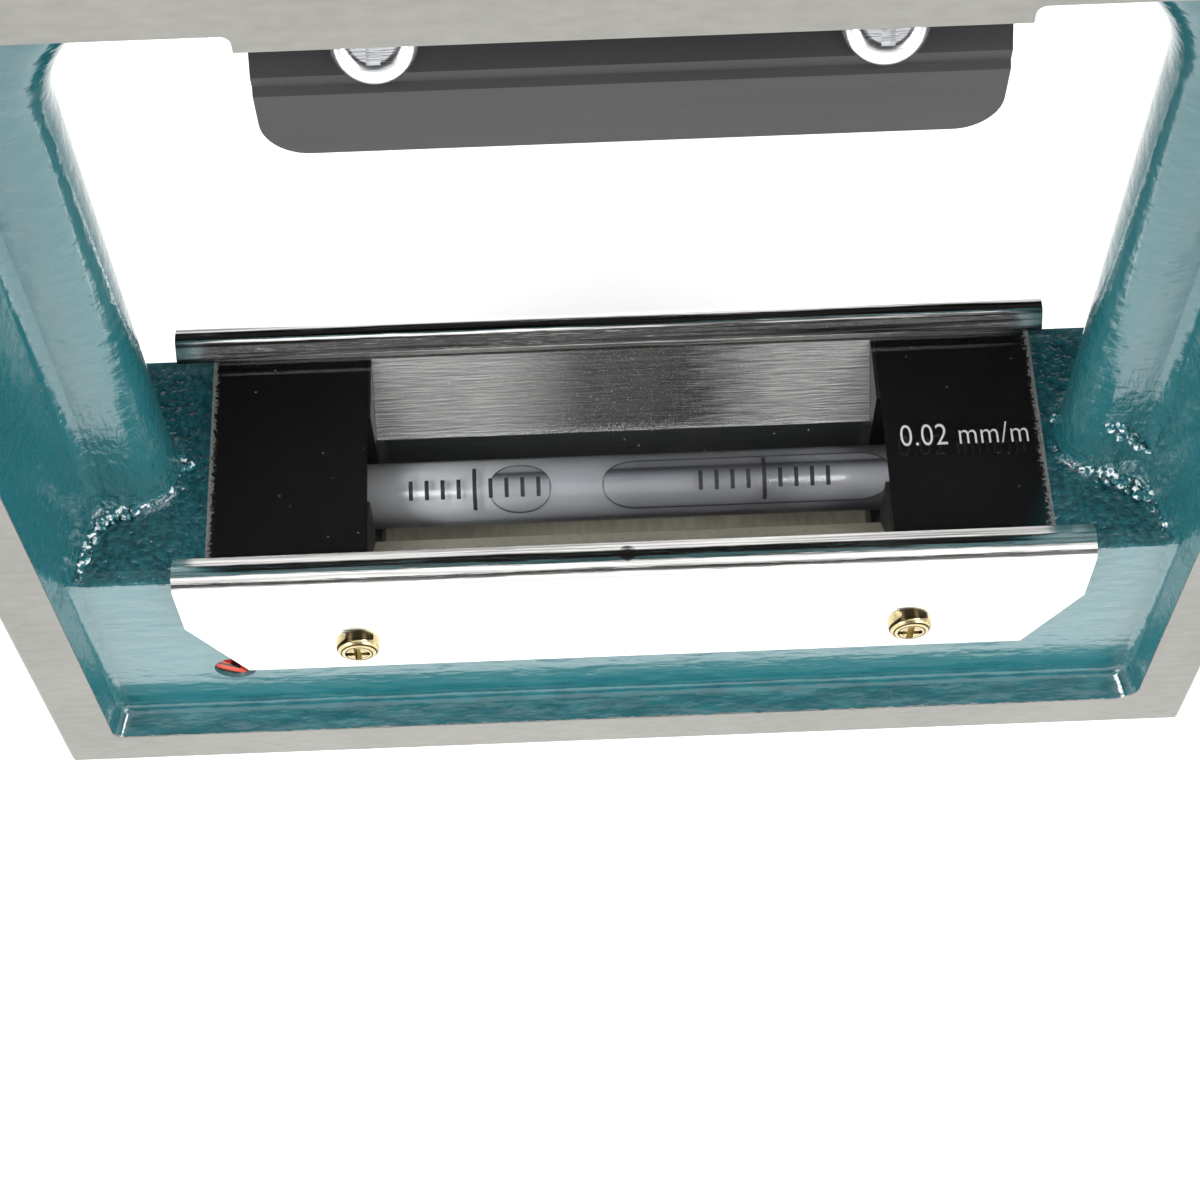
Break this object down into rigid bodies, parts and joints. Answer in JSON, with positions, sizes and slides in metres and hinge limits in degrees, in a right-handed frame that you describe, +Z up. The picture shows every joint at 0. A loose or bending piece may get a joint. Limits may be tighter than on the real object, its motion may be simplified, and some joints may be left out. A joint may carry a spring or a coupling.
{
  "type": "frame spirit level",
  "caption": "Square cast frame level with ground faces, a tiltable vial under a clear plate in its bottom bar, sheet covers, a zero adjuster and hand grips.",
  "frame": {"origin": "middle of the base's rectangle, on the ground base face", "axes": "+X along the bottom bar to the right, -Y towards the covered front seen in use, +Z up"},
  "size_m": [0.15, 0.04, 0.15],
  "materials": {
    "teal_enamel_iron": "glossy teal enamel on cast iron, outer faces ground bright",
    "vial_glass": "clear ground glass",
    "vial_liquid": "clear grey liquid",
    "air_bubble": "air",
    "cap_brass": "turned and milled",
    "pin_steel": "ground",
    "red_lacquer": "red lacquer",
    "black_rubber": "matte",
    "black_film": "matte black print",
    "clear_plate": "clear acrylic",
    "cover_chrome": "bright chrome on sheet",
    "yellow_zinc": "yellow zinc plated",
    "grip_black": "fine grained black moulding",
    "bright_zinc": "bright zinc plated"
  },
  "bodies": {
    "frame": {"frame_body": "teal_enamel_iron", "pivot_pin": "pin_steel", "window_film": "black_film", "window_plate": "clear_plate", "front_cover": "cover_chrome", "rear_cover": "cover_chrome", "front_cover_screws": "yellow_zinc", "rear_cover_screws": "yellow_zinc", "front_grip": "grip_black", "rear_grip": "grip_black", "front_grip_screws": "bright_zinc", "rear_grip_screws": "bright_zinc"},
    "vial_carrier": {"vial_glass": "vial_glass", "vial_liquid": "vial_liquid", "left_end_cap": "cap_brass", "right_end_cap": "cap_brass"},
    "adjuster": {"zero_adjuster": "red_lacquer", "adjuster_ring": "black_rubber"},
    "long_bubble": {"long_bubble": "air_bubble"},
    "small_bubble": {"small_bubble": "air_bubble"}
  },
  "joints": [
    {"name": "zero_turn", "type": "hinge", "parent": "frame", "child": "adjuster", "pos_m": [-0.0503, 0, 0.0185], "axis": [0, 1, 0], "range_deg": [-45, 45]},
    {"name": "vial_tilt", "type": "hinge", "parent": "frame", "child": "vial_carrier", "pos_m": [0.047, 0, 0.0329], "axis": [0, 1, 0], "range_deg": [-0.17, 0.17]},
    {"name": "long_bubble_run", "type": "slide", "parent": "vial_carrier", "child": "long_bubble", "axis": [1, 0, 0], "range_m": [-0.003, 0.0054]},
    {"name": "small_bubble_run", "type": "slide", "parent": "vial_carrier", "child": "small_bubble", "axis": [1, 0, 0], "range_m": [-0.0213, 0.003]}
  ],
  "couplings": [
    {"joint": "zero_turn", "follows": "vial_tilt", "ratio": -256.4}
  ]
}
